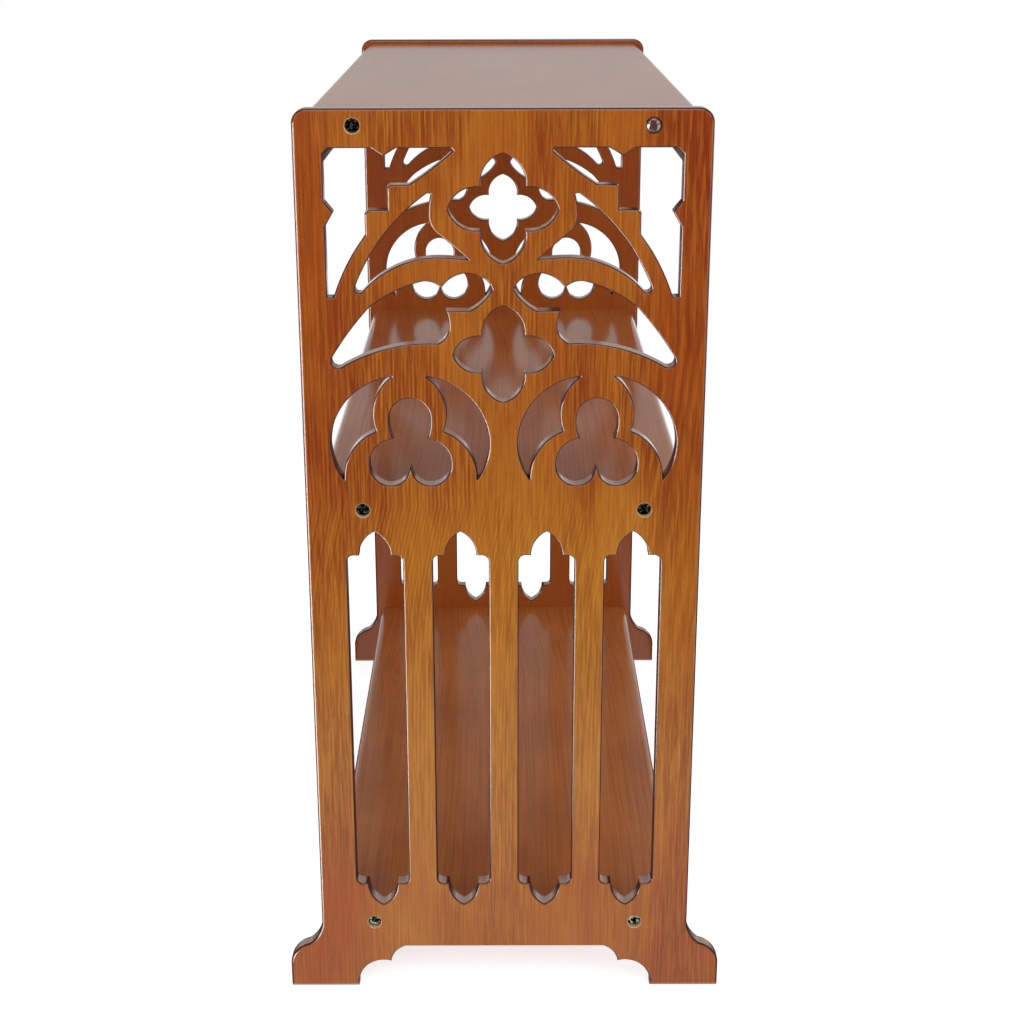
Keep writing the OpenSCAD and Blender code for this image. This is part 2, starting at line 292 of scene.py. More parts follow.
# %% [markdown]
# ## The end panels' stain
# The stain is a warm orange-brown. It took more strongly in the tracery, along the sides and towards
# the feet, which are redder than the yellow-brown bars between the slots, and the grain shows more
# where the stain is deep. Sapwood glows through as a few pale clouds.

# %% Panel stain
UPPER = 390, 560           # mm up, over which the tracery's redder stain comes in
SIDE = 105.0, 150.0        # mm from the middle, over which the sides' does
FOOT = 240, 50             # mm up, over which the feet's does
YELLOW_BROWN, RED_BROWN, SAPWOOD = rgb(200, 130, 42), rgb(176, 88, 22), rgb(206, 134, 52)


def stain(tree, place, across, along):
    """The wood's colour before its grain, and how strongly the grain shows."""
    clouds = noise(tree, place, (46, 120, 46), detail=3.0, shift=(40, 0, 0))
    glow = noise(tree, place, (30, 260, 30), detail=2.0, shift=(0, 400, 0))
    upper = step(tree, along, *UPPER)
    side = step(tree, unsigned(tree, across), *SIDE)
    foot = step(tree, along, *FOOT)
    lower_red = total(tree, product(tree, side, 0.32), product(tree, foot, 0.55))
    upper_red = total(tree, product(tree, side, 0.4), 0.62)
    drift = product(tree, less(tree, clouds, 0.5), 0.9)
    red = total(tree, between(tree, upper, lower_red, upper_red), drift)
    colour = mix(tree, red, YELLOW_BROWN, RED_BROWN)
    colour = mix(tree, product(tree, step(tree, glow, 0.5, 0.8), 0.3), colour, SAPWOOD)
    quiet = step(tree, noise(tree, place, (40, 140, 40), detail=1.0, shift=(0, 90, 0)), 0.3, 0.7, 0.45, 1.0)
    strength = product(tree, quiet, total(tree, product(tree, upper, 0.35), 0.55),
                       total(tree, product(tree, side, 0.35), 1.0))
    return colour, strength


# %% [markdown]
# ## Edges and lacquer
# The routed edges are much darker than the flats, partly from a darker stain and partly from painted
# shade, and their walls were never polished. The panel's mesh carries an attribute, rim, that says how
# far round the softened edge each point lies: 0 on the flat, 1 on the wall behind it, and up to 2 where
# that wall faces up. From it come the dark line just past the flat, the dull walls, and a painted sheen on
# the ledges that the fretwork makes. A pale line along the feet at the floor is a painted reflection of
# the floor. The lacquer is the shader's coat, a clear layer with a gloss of its own.

# %% Lacquer and edges
LACQUER = {"Coat Weight": 1.0, "Coat Roughness": 0.12, "Coat IOR": 1.5,
           "Specular IOR Level": 0.1, "Roughness": 0.5}
# Edge colours: a dark tone that is partly stain and partly painted shade, a painted reflection of the floor
# along the feet, and a painted sheen on ledges that face up.
EDGE_STAIN_AND_SHADE, PAINTED_FLOOR_GLINT, PAINTED_LEDGE_SHEEN = rgb(62, 24, 22), rgb(182, 162, 150), rgb(168, 140, 128)
FLOOR_GLINT_UP_TO = 1.8, 3.6      # mm over the floor, where the painted reflection of the floor ends


def lacquered(shader, **changes):
    """Sets the clear lacquer's sockets, with any changes."""
    for name, value in {**LACQUER, **changes}.items():
        shader.inputs[name].default_value = value


def raised(tree, shader, height, strength, depth=0.0002, socket="Normal"):
    """Raises the surface, or the lacquer over it, by that strength of the height times the depth."""
    bump = add(tree, "Bump", {"Strength": strength, "Distance": depth, "Height": height})
    plug(tree, shader.inputs[socket], bump.outputs[0])


def edge_tones(tree, along, colour):
    """The colour with the edges' dark tone, partly stain and partly painted shade, the painted reflection of
    the floor along the feet and the painted sheen on ledges, and the share of polish.
    """
    rim = add(tree, "Attribute", attribute_name="rim").outputs["Fac"]
    ledge = step(tree, rim, 1.3, 1.75)
    # Dark edge line: partly a darker stain on the routed edges and partly painted shade on the rounding that
    # turns away from the light.
    colour = mix(tree, step(tree, rim, 0.2, 0.5), colour, EDGE_STAIN_AND_SHADE)
    # Painted reflection: a pale line along the bottom of the feet stands for the floor mirrored in their
    # lower edge.
    colour = mix(tree, step(tree, along, *FLOOR_GLINT_UP_TO, 0.8, 0.0), colour, PAINTED_FLOOR_GLINT)
    # Painted sheen: edges whose walls face up are greyed, which stands for the pale light they mirror from
    # above.
    colour = mix(tree, ledge, colour, PAINTED_LEDGE_SHEEN)
    dull = less(tree, step(tree, rim, 0.55, 0.8), ledge)
    return colour, less(tree, 1.0, product(tree, dull, 0.85))


# %% [markdown]
# ## The end panels' finish
# Stain, grain and edges come together in one tree: the stain first, then the dark lines and rings, the
# short streaks and the pores, then a painted shade that deepens the tone on the faces that look into
# the stand, and the edges last. The rings are strongest where the flame's nested points are. The grain
# and the pores also sink into the surface by a hair, so that light catches them.

# %% Panel finish
FLAME_POINTS = -77.0, 440.0      # mm across and up, where the nested points are
DARK_RING, STREAK, PORE, INSIDE_PAINTED_SHADE = rgb(100, 42, 8), rgb(132, 48, 14), rgb(84, 34, 8), rgb(154, 74, 32)


def close_to(tree, value, middle, inside, outside):
    """1 while the value is within the first distance of the middle, fading to 0 at the second."""
    return step(tree, unsigned(tree, less(tree, value, middle)), inside, outside, 1.0, 0.0)


def panel_finish():
    """Stained oak veneer on the flats under lacquer, with painted shade on the faces inside the stand, and
    dark edges that are partly stain and partly painted shade.
    """
    material, tree, shader = new_material("lacquered_oak")
    lacquered(shader)
    _, through, across, along = millimetres(tree)
    place = grain_place(tree, across, along, through)
    lines, rings, streaks = veneer(tree, through, across, along)
    colour, strength = stain(tree, place, across, along)
    nest = product(tree, close_to(tree, across, FLAME_POINTS[0], 20, 55),
                   close_to(tree, along, FLAME_POINTS[1], 30, 90))
    rings = product(tree, rings, total(tree, product(tree, nest, 0.4), 0.3))
    shade = total(tree, product(tree, lines, 0.5), rings)
    colour = mix(tree, product(tree, shade, strength), colour, DARK_RING)
    colour = mix(tree, product(tree, streaks, 0.85, strength), colour, STREAK)
    pores = step(tree, noise(tree, place, (0.5, 8, 0.5), detail=1.0), 0.6, 0.74)
    dashes = product(tree, pores, total(tree, product(tree, lines, 0.3), 0.08))
    colour = mix(tree, dashes, colour, PORE)
    # Painted shade: the faces that look into the stand take a deeper tone that stands for the shade inside
    # it.
    inside = step(tree, unsigned(tree, through), inner_face / MM + 1, inner_face / MM + 2, 0.7, 0.0)
    colour, polish = edge_tones(tree, along, mix(tree, inside, colour, INSIDE_PAINTED_SHADE))
    plug(tree, shader.inputs["Base Color"], colour)
    plug(tree, shader.inputs["Coat Weight"], polish)
    height = less(tree, 1.0, total(tree, product(tree, lines, 0.4), dashes))
    raised(tree, shader, height, 0.25)
    raised(tree, shader, height, 0.08, socket="Coat Normal")
    return material


oak_panel = panel_finish()
print(oak_panel.name, "has", len(oak_panel.node_tree.nodes), "nodes")

# %% [markdown]
# ## The shelves' finish
# The shelves have the same stain laid on more heavily, so they read as a deeper red-brown, and a
# thicker lacquer that mirrors more. Their grain runs lengthwise. Long shallow ripples in the lacquer
# draw out what it mirrors, which is what tells a polished board from glass.

# %% Shelf finish
SHELF_LEAF = -52, -160, 0.4, 0.1, 18       # heart, eye, closing, taper and reach of its flame
SHELF_WANDER = (120, 500, 10), (22, 140, 2.5)
SHELF_PALE, SHELF_DARK = rgb(192, 115, 57), rgb(172, 98, 48)
SHELF_LINE, SHELF_PORE = rgb(104, 46, 22), rgb(78, 32, 16)


def shelf_finish():
    """Oak along X, deeper and redder than the panels, under thick lacquer."""
    material, tree, shader = new_material("polished_oak")
    lacquered(shader, **{"Coat Roughness": 0.15, "Coat IOR": 1.62})
    _, along, across, through = millimetres(tree)
    place = grain_place(tree, across, along, through)
    wavy = bent(tree, place, total(tree, across, through), SHELF_WANDER)
    lines = grain_lines(tree, flame_distance(tree, wavy, along, *SHELF_LEAF), along, through, 2.2)
    clouds = noise(tree, place, (70, 170, 60), detail=3.0)
    pores = step(tree, noise(tree, place, (0.6, 9, 0.6), detail=1.0), 0.58, 0.72)
    colour = mix(tree, step(tree, clouds, 0.3, 0.75), SHELF_PALE, SHELF_DARK)
    colour = mix(tree, product(tree, lines, 0.34), colour, SHELF_LINE)
    colour = mix(tree, product(tree, pores, 0.2), colour, SHELF_PORE)
    plug(tree, shader.inputs["Base Color"], colour)
    ripple = noise(tree, place, (5, 260, 5), detail=2.0)
    height = total(tree, ripple, product(tree, lines, -0.2))
    raised(tree, shader, height, 0.15)
    raised(tree, shader, height, 0.1, 0.0004, "Coat Normal")
    return material


oak_shelf = shelf_finish()
print(oak_shelf.name, "has", len(oak_shelf.node_tree.nodes), "nodes")

# %% [markdown]
# ## Bare wood and metal
# The bores show the panels' pale core, because stain never reaches into them, and the webs behind the
# spandrels are a plain grey-brown, darker than the faces. The bolts are blackened steel with bright
# flecks where the key has turned. Zinc plate on the barrel nuts is soft and slightly blue. Fibre and
# scratches are the same noise as the oak's, only finer, so no picture is needed for any of them.

# %% Bare wood and metal
def raw_wood(name, pale, dark):
    """Unfinished wood: fine fibre across two close tones, and no gloss."""
    material, tree, shader = new_material(name)
    place, *_ = millimetres(tree)
    fibre = noise(tree, place, (1.2, 1.2, 6), detail=3.0, roughness=0.7)
    plug(tree, shader.inputs["Base Color"], mix(tree, step(tree, fibre, 0.3, 0.7), pale, dark))
    shader.inputs["Roughness"].default_value = 0.75
    raised(tree, shader, fibre, 0.3)
    return material


def metal(name, base, fleck, roughness, wear):
    """Metal whose tone and smear of roughness drift over the size of a fingertip."""
    material, tree, shader = new_material(name)
    place, *_ = millimetres(tree)
    cloud = noise(tree, place, (2.2, 2.2, 2.2), detail=2.0)
    scratch = noise(tree, place, (0.15, 3.0, 0.15), detail=2.0)
    plug(tree, shader.inputs["Base Color"], mix(tree, step(tree, cloud, 0.52, 0.62), base, fleck))
    shader.inputs["Metallic"].default_value = 1.0
    plug(tree, shader.inputs["Roughness"], step(tree, cloud, 0.2, 0.8, roughness, roughness + wear))
    raised(tree, shader, scratch, 0.12, 0.0001)
    return material


web_wood = raw_wood("web_wood", rgb(128, 108, 96), rgb(98, 82, 74))
core_wood = raw_wood("bare_core", rgb(206, 176, 138), rgb(170, 132, 92))
beech = raw_wood("bare_beech", rgb(222, 190, 150), rgb(196, 156, 112))
steel = metal("blackened_steel", rgb(26, 28, 26), rgb(206, 213, 192), 0.2, 0.12)
zinc = metal("zinc_plate", rgb(170, 174, 180), rgb(206, 208, 210), 0.3, 0.15)
print("small finishes:", [material.name for material in (web_wood, core_wood, beech, steel, zinc)])

# %% [markdown]
# ## The button's lacquer
# The button is a dark red-brown moulding under a lacquer so thick that it mirrors the room strongly,
# which a high refractive index of the coat gives. Lacquer runs off a steep brim, so round its foot the
# button has none, and a dark ring of painted shade is laid there. The mesh's rim attribute says how far
# out a place is, as a share of the button's radius.

# %% Button finish
BUTTON_COAT = {"Coat Roughness": 0.15, "Coat IOR": 2.8, "Roughness": 0.4, "Specular IOR Level": 0.15}
BUTTON_PALE, BUTTON_DARK, BUTTON_FOOT_SHADE = rgb(100, 56, 46), rgb(70, 34, 28), rgb(34, 14, 12)


def button_finish():
    """Thick gloss lacquer over a faintly mottled moulding, with a ring of painted shade round the bare foot.
    """
    material, tree, shader = new_material("button_lacquer")
    place, *_ = millimetres(tree)
    lacquered(shader, **BUTTON_COAT)
    body = mix(tree, noise(tree, place, (3, 3, 3), detail=3.0), BUTTON_PALE, BUTTON_DARK)
    outwards = add(tree, "Attribute", attribute_name="rim").outputs["Fac"]
    # Painted shade: the foot of the button is darkened, which stands for the shadow round its edge.
    colour = mix(tree, step(tree, outwards, 0.7, 0.95), body, BUTTON_FOOT_SHADE)
    plug(tree, shader.inputs["Base Color"], colour)
    plug(tree, shader.inputs["Coat Weight"], step(tree, outwards, 0.6, 0.85, 1.0, 0.0))
    return material


button_gloss = button_finish()
print(button_gloss.name, "has", len(button_gloss.node_tree.nodes), "nodes")

# %% [markdown]
# ## Patches of skin
# Every new piece is a few patches: a sheet of points in rows and columns, or a flat face cut round its
# holes. A patch keeps the normal of each face's corners, so a flat stays flat right up to a rounded
# edge. Joining the patches welds the points that coincide, which closes all the seams, and a four-sided
# face that shrinks to three corners at a point becomes a triangle.

# %% Patches and joining
STAIN, BARE, GREY_BROWN = 0, 1, 2     # which of a piece's materials a patch takes
WELD = 1e-7                      # metres: places nearer than this are one point


def sheet(points, normals, rim=0.0, finish=STAIN, closed=False):
    """A patch from rows and columns of points. Each face joins a row to the next one, and its corners
    keep the normals of their points."""
    rows, columns = points.shape[:2]
    number = np.arange(rows * columns).reshape(rows, columns)
    beside = np.roll(number, -1, axis=1) if closed else number[:, 1:]
    here = number if closed else number[:, :-1]
    faces = np.stack([here[:-1], here[1:], beside[1:], beside[:-1]], axis=-1).reshape(-1, 4)
    point_normals = np.broadcast_to(normals, points.shape).reshape(-1, 3)
    rims = np.broadcast_to(rim, points.shape[:2]).reshape(-1)
    return points.reshape(-1, 3), faces, point_normals[faces], rims, np.full(len(faces), finish)


def flat_face(loops, normal, finish=STAIN):
    """A flat patch bounded by an outer loop and the loops of its holes, cut into triangles. Only the
    triangles that lie in the outer loop and in no other are kept."""
    axis = int(np.argmax(np.abs(normal)))
    kept = []
    for loop in loops:
        loop = loop[np.linalg.norm(loop - np.roll(loop, 1, axis=0), axis=1) > WELD]
        y, z = loop[:, (axis + 1) % 3], loop[:, (axis + 2) % 3]
        kept.append(loop if np.sum(y * np.roll(z, -1) - z * np.roll(y, -1)) > 0 else loop[::-1])
    points = np.concatenate(kept)
    starts = np.cumsum([0] + [len(loop) for loop in kept])
    rings = [list(range(low, high)) for low, high in zip(starts, starts[1:])]
    flat = [Vector((p[(axis + 1) % 3], p[(axis + 2) % 3])) for p in points]
    _, _, cut, origin, _, inside = delaunay_2d_cdt(flat, [], rings, 1, 1e-9)
    wood = [face for face, rings_round in zip(cut, inside) if list(rings_round) == [0]]
    corners = np.array([[origin[corner][0] for corner in face] for face in wood])
    if normal[axis] < 0:
        corners = corners[:, ::-1]
    faces = np.column_stack([corners, corners[:, 2]])
    normals = np.broadcast_to(np.array(normal, float), (len(faces), 4, 3))
    return points, faces, normals, np.zeros(len(points)), np.full(len(faces), finish)


def turned_patch(patch):
    """The same patch facing the other way."""
    points, faces, normals, rims, finishes = patch
    return points, faces[:, ::-1], -normals[:, ::-1], rims, finishes


def report(name, places, fours, threes):
    """Prints the volume, a sixth of the sum of each triangle's first corner times the cross product
    of the other two, and how many sides have no face beyond them."""
    cubic_cm = (10 * MM) ** 3
    cut = np.concatenate([threes, fours[:, :3], fours[:, [0, 2, 3]]])
    volume = np.sum(places[cut[:, 0]] * np.cross(places[cut[:, 1]], places[cut[:, 2]])) / 6
    here = np.concatenate([fours.reshape(-1), threes.reshape(-1)])
    there = np.concatenate([np.roll(faces, -1, axis=1).reshape(-1) for faces in (fours, threes)])
    open_sides = np.sum(~np.isin(here * len(places) + there, there * len(places) + here))
    print(name, len(cut), "triangles,", round(volume / cubic_cm, 2), "cubic cm,", open_sides, "open sides")


def joined(name, patches, materials):
    """One mesh from the patches: coinciding points are welded and shrunken faces lose a corner."""
    points, faces, normals, rims, finishes = (np.concatenate(parts) for parts in zip(*patches))
    starts = np.cumsum([0] + [len(patch[0]) for patch in patches[:-1]])
    faces += np.repeat(starts, [len(patch[1]) for patch in patches])[:, None]
    _, first, same = np.unique(np.round(points / WELD).astype(np.int64), axis=0,
                               return_index=True, return_inverse=True)
    faces = same.reshape(-1)[faces]
    keep = faces != np.roll(faces, 1, axis=1)
    crossed = (faces[:, 0] == faces[:, 2]) | (faces[:, 1] == faces[:, 3])
    sides = np.where(crossed & (keep.sum(1) == 4), 0, keep.sum(1))
    four, three = sides == 4, sides == 3
    triangles = faces[three][keep[three]].reshape(-1, 3)
    distinct = triangles[:, 0] != triangles[:, 2]
    triangles = triangles[distinct]
    triangle_normals = normals[three][keep[three]].reshape(-1, 3, 3)[distinct]
    face_finishes = np.concatenate([finishes[four], finishes[three][distinct]])
    corner_normals = np.concatenate([normals[four].reshape(-1, 3), triangle_normals.reshape(-1, 3)])

    mesh = bpy.data.meshes.new(name)
    mesh.from_pydata(points[first].tolist(), [], faces[four].tolist() + triangles.tolist())
    mesh.polygons.foreach_set("material_index", face_finishes.astype(np.int32))
    mesh.attributes.new("rim", "FLOAT", "POINT").data.foreach_set("value", rims[first].astype(np.float32))
    for material in materials:
        mesh.materials.append(material)
    mesh.shade_smooth()
    mesh.normals_split_custom_set(corner_normals.tolist())
    piece = bpy.data.objects.new(name, mesh)
    bpy.context.scene.collection.objects.link(piece)
    report(name, points[first], faces[four], triangles)
    return piece


def dress(piece, node):
    """The piece rides on the stand and stands for the CAD node, which is hidden."""
    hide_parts(node)
    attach(piece, "root")


# %% [markdown]
# ## Reading the fretwork's outlines
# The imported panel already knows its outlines, to the last cusp. The sides that only one triangle of the
# flat face has make up the outline. They could be followed one by one, but it is quicker to let every
# corner jump ahead at once, twice as far each round: that gives each corner its loop and its place in
# the loop.

# %% Outlines of a flat face
GRID = 1e-6            # metres: places are rounded to this before they are compared


def flat_loops(node, height):
    """The closed outlines of the node's flat face at that X, as arrays of [Y, Z]. The wood is on the
    left as one travels along them, seen from +X."""
    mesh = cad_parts[node].data
    mesh.calc_loop_triangles()
    places = np.empty(len(mesh.vertices) * 3)
    mesh.vertices.foreach_get("co", places)
    triangles = np.empty(len(mesh.loop_triangles) * 3, np.int32)
    mesh.loop_triangles.foreach_get("vertices", triangles)
    rounded_places = np.round(places.reshape(-1, 3) / GRID).astype(np.int64)
    grid, same = np.unique(rounded_places, axis=0, return_inverse=True)
    triangles = same.reshape(-1)[triangles].reshape(-1, 3)
    triangles = triangles[(np.abs(grid[triangles][:, :, 0] * GRID - height) < 3 * GRID).all(axis=1)]
    sides = np.concatenate([triangles[:, [0, 1]], triangles[:, [1, 2]], triangles[:, [2, 0]]])
    sides = sides[sides[:, 0] != sides[:, 1]]
    there, back = sides @ [len(grid), 1], sides @ [1, len(grid)]
    rim = sides[~np.isin(there, back)]
    rim = rim[np.argsort(rim[:, 0])]
    following = np.searchsorted(rim[:, 0], rim[:, 1])
    number = np.arange(len(rim))
    rounds = range(int(np.log2(len(rim))) + 1)
    home, jump = number.copy(), following.copy()
    for _ in rounds:
        home, jump = np.minimum(home, home[jump]), jump[jump]
    to_go = (home != number).astype(int)
    jump = np.where(home == number, number, following)
    for _ in rounds:
        to_go, jump = to_go + to_go[jump], jump[jump]
    order = np.lexsort((-to_go, home))
    breaks = np.flatnonzero(np.diff(home[order])) + 1
    return [grid[rim[part, 0]][:, 1:] * GRID for part in np.split(order, breaks)]


def loop_area(loop):
    """Half the sum of the cross products of each corner and the next."""
    after = np.roll(loop, -1, axis=0)
    return 0.5 * np.sum(loop[:, 0] * after[:, 1] - loop[:, 1] * after[:, 0])


LARGEST_BORE = np.pi * (7 * MM) ** 2


def is_bore(loop):
    """Whether the loop's area is no more than the widest bore's."""
    return abs(loop_area(loop)) <= LARGEST_BORE


near_loops = flat_loops("right_end_panel", outer_face)
outlines = [loop for loop in near_loops if not is_bore(loop)]
counterbores = [loop for loop in near_loops if is_bore(loop)]
far_bores = [loop for loop in flat_loops("right_end_panel", inner_face) if is_bore(loop)]
print(len(outlines), "outlines,", len(counterbores), "counterbores,", len(far_bores), "holes behind")

# %% [markdown]
# ## Rounding the outlines
# In the model an arc is a run of short straight steps. A real router leaves a true curve, so each step
# is bent: the direction at a point is that of the circle through it and its neighbours, and a cubic
# curve joins the points in those directions. Where the outline turns sharply the corner stays, and the
# directions on its two sides are kept apart. Long steps are straight sides and stay straight.

# %% Curves through the outlines
LONGEST_STEP = 4.2 * MM       # a longer side is a straight one
SHARP = np.radians(26)        # a wider turn is a corner
SLIGHT = np.radians(1.5)      # between two straight sides, so is this
FINE_TURN = np.radians(5)     # turn between the points of a rounded curve
FAN_TURN = np.radians(12)     # turn between the fanned edges round a hole's sharp end
EDGE_R, RIM_R = 2.0 * MM, 3.0 * MM     # round-over at the openings and round the panel


def cross2(a, b):
    """The third part of the cross product of flat vectors."""
    return a[..., 0] * b[..., 1] - a[..., 1] * b[..., 0]


def unit(vectors):
    """The vectors at length one."""
    return vectors / np.linalg.norm(vectors, axis=-1, keepdims=True)


def left_of(directions):
    """The directions turned a quarter to the left, which is into the wood."""
    return np.stack([-directions[..., 1], directions[..., 0]], axis=-1)


def mirrored(direction, side):
    """The direction mirrored about a side, as the two ends of an arc are."""
    return 2 * np.sum(direction * side, axis=-1, keepdims=True) * side - direction


def turn_between(before, after):
    """The angle from one direction to the other, from their cross and dot products."""
    return np.arctan2(cross2(before, after), np.sum(before * after, axis=-1))


def rounded(points):
    """Columns along an outline: places, directions into the wood, and the corners' numbers in them.
    Between two points the place is the cubic curve that leaves and arrives in the given directions,
    each as long as the step. Round a sharp end the direction into the wood swings evenly."""
    ahead = np.roll(points, -1, axis=0) - points
    length = np.linalg.norm(ahead, axis=1)
    heading = ahead / length[:, None]
    came, came_length = np.roll(heading, 1, axis=0), np.roll(length, 1)
    turn = turn_between(came, heading)
    straight = length > LONGEST_STEP
    was_straight = np.roll(straight, 1)
    corner = (np.abs(turn) > SHARP) | (straight & was_straight & (np.abs(turn) > SLIGHT))
    tangent = unit(came / came_length[:, None] + heading / length[:, None])
    tangent = np.where(was_straight[:, None], came, tangent)
    tangent = np.where(straight[:, None], heading, tangent)
    ends_sharp, end_tangent = np.roll(corner, -1), np.roll(tangent, -1, axis=0)
    lone = (corner & ends_sharp) | straight
    leaving = np.where(corner[:, None], mirrored(end_tangent, heading), tangent)
    leaving = np.where(lone[:, None], heading, leaving)
    arriving = np.where(ends_sharp[:, None], mirrored(tangent, heading), end_tangent)
    arriving = np.where(lone[:, None], heading, arriving)

    bend = turn_between(leaving, arriving)
    parts = np.maximum(1, np.ceil(np.abs(bend) / FINE_TURN)).astype(int)
    end_turn = np.roll(turn_between(np.roll(arriving, 1, axis=0), leaving), -1)
    fans = np.where(ends_sharp & (end_turn < 0), np.ceil(-end_turn / FAN_TURN), 1).astype(int) - 1
    counts = parts + np.where(ends_sharp, 1 + fans, 0)
    side = np.repeat(np.arange(len(points)), counts)
    number = np.arange(counts.sum()) - np.repeat(np.cumsum(counts) - counts, counts)
    s = np.minimum(number / parts[side], 1.0)[:, None]
    start, end = points[side], np.roll(points, -1, axis=0)[side]
    m0, m1 = leaving[side] * length[side, None], arriving[side] * length[side, None]
    place = ((1 + 2 * s) * (1 - s) ** 2 * start + s * (1 - s) ** 2 * m0
             + s * s * (3 - 2 * s) * end - s * s * (1 - s) * m1)
    travel = (6 * s * (s - 1) * (start - end) + (1 - s) * (1 - 3 * s) * m0 + s * (3 * s - 2) * m1)
    inward = left_of(unit(travel))
    swing = np.maximum(number - parts[side], 0) / (fans[side] + 1) * end_turn[side]
    inward = np.stack([inward[:, 0] * np.cos(swing) - inward[:, 1] * np.sin(swing),
                       inward[:, 0] * np.sin(swing) + inward[:, 1] * np.cos(swing)], axis=1)
    last = np.cumsum(counts) - 1
    run = np.linalg.norm(np.roll(place, -1, axis=0) - place, axis=1)
    tight = (cross2(inward, np.roll(inward, -1, axis=0)) > run / EDGE_R) & (run > WELD)
    begins = np.flatnonzero(tight & ~np.roll(tight, 1))
    stops = np.flatnonzero(tight & ~np.roll(tight, -1))
    inner_corners = np.concatenate([last[ends_sharp & (end_turn > 0)], (begins + stops) // 2])
    return place, inward, inner_corners


def offset_into_wood(place, inward, inner_corners, distance):
    """The outline moved into the wood. Beside a corner where the wood is narrow, the two sides would
    pass through each other, so what has crossed the corner's middle line is put on the crossing."""
    moved = place + inward * distance
    if distance == 0:
        return moved
    count = len(place)
    run = np.linalg.norm(np.roll(place, -1, axis=0) - place, axis=1)
    travelled = np.concatenate([[0], np.cumsum(run)])
    for last in inner_corners:
        first = (last + 1) % count
        corner = place[last]
        middle = unit(inward[last] + inward[first])
        across = left_of(middle)
        if inward[first] @ across > 0:
            across = -across
        half_cosine = inward[last] @ middle
        reach = 4 * distance / max(half_cosine, 0.2)
        ahead = (travelled[:count] - travelled[first]) % travelled[-1]
        behind = (travelled[last] - travelled[:count]) % travelled[-1]
        side = (moved - corner) @ across
        crossed_ahead = (ahead < reach) & (side < 0) & (ahead < travelled[-1] / 2)
        crossed_behind = (behind < reach) & (side > 0) & (behind < travelled[-1] / 2)
        if crossed_ahead.any():
            inner = np.flatnonzero(crossed_ahead)[np.argmax(ahead[crossed_ahead])]
            outer = (inner + 1) % count
            share = side[inner] / (side[inner] - side[outer])
            crossing = moved[inner] + (moved[outer] - moved[inner]) * share
            moved[crossed_ahead | crossed_behind] = crossing
    return moved


# %% [markdown]
# ## Softening the edges
# A router with a round-over cutter goes round every opening and round the panel itself, on both faces.
# Its profile is a quarter circle, carried along the rounded outline: at each angle the edge has moved
# into the wood by the radius less its sine, and down from the face by the radius less its cosine. At a
# sharp end of an opening the columns fan out round the point, as the cutter does.

# %% Edges carried along an outline
EDGE_STEPS = 6
WALL_BEGINS = 1.1      # radians round the edge, past which it counts as the wall


def lifted(flat, height):
    """Flat places [Y, Z] at one X."""
    return np.column_stack([np.full(len(flat), height), flat])


def routed_edge(outline, radius):
    """The rounded rim and wall along one outline, and its two loops on the flats. The rim attribute is
    the share of the quarter turn, and on the wall how far it faces up is added."""
    place, inward, inner_corners = rounded(outline)
    angles = np.linspace(0, np.pi / 2, EDGE_STEPS + 1)
    rows, normals, rims = [], [], []
    for back in (False, True):
        for angle in (angles[::-1] if back else angles):
            flat = offset_into_wood(place, inward, inner_corners, radius * (1 - np.sin(angle)))
            sunk = radius * (1 - np.cos(angle))
            rows.append(lifted(flat, inner_face + sunk if back else outer_face - sunk))
            normals.append(np.column_stack([np.full(len(flat), (-1 if back else 1) * np.cos(angle)),
                                            -inward * np.sin(angle)]))
            facing_up = np.maximum(-inward[:, 1], 0)
            rims.append(angle / (np.pi / 2) + facing_up * (angle > WALL_BEGINS))
    band = sheet(np.array(rows), np.array(normals), np.array(rims), closed=True)
    return band, rows[0], rows[-1]


# %% [markdown]
# ## Bores
# Each bolt sits in a stepped bore: a wide one for its head, then a close one for its thread. A bore is
# its profile turned about its middle. The same function makes the barrel nuts' holes, which stand
# upright, and the button, so it takes the axis and which way the faces look.

# %% Turned pieces
TURNS = 48     # sides of a circle
spin = np.arange(TURNS) * 2 * np.pi / TURNS
X_AXIS, Z_AXIS = (0, 1, 2), (2, 0, 1)     # which coordinate runs along, and the two across
TINY = 1e-12                              # keeps a band of no length from a division by nothing


def turned(profile, centre, axis=X_AXIS, inside=False, finish=STAIN, rim=0.0):
    """A profile of (along, radius) turned about a line through the centre: at each angle the point lies
    its radius outwards. Each band between two profile points has its own normal, square to it."""
    along, radius = np.array(profile, float).T
    outward = np.stack([np.zeros(TURNS), np.cos(spin), np.sin(spin)], axis=-1)
    forwards = np.array([1.0, 0, 0])
    points = along[:, None, None] * forwards + radius[:, None, None] * outward
    points[..., 1] += centre[0]
    points[..., 2] += centre[1]
    moved_along, moved_out = np.diff(along), np.diff(radius)
    size = np.maximum(np.hypot(moved_along, moved_out), TINY)
    number = np.arange(len(profile) * TURNS).reshape(-1, TURNS)
    beside = np.roll(number, -1, axis=1)
    faces = np.stack([number[:-1], number[1:], beside[1:], beside[:-1]], axis=-1)
    band = (moved_out / size)[:, None, None] * forwards - (moved_along / size)[:, None, None] * outward
    after = np.roll(band, -1, axis=1)
    normals = np.stack([band, band, after, after], axis=2).reshape(-1, 4, 3)
    order = np.argsort(axis)
    patch = (points.reshape(-1, 3)[:, order], faces.reshape(-1, 4), normals[:, :, order],
             np.repeat(np.broadcast_to(rim, len(profile)), TURNS), np.full(faces.shape[0] * TURNS, finish))
    return turned_patch(patch) if inside else patch


def ring(radius, centre, height, axis=X_AXIS):
    """A circle of points about a centre, at one height along the axis."""
    circle = [np.full(TURNS, height), centre[0] + radius * np.cos(spin), centre[1] + radius * np.sin(spin)]
    return np.column_stack(circle)[:, np.argsort(axis)]


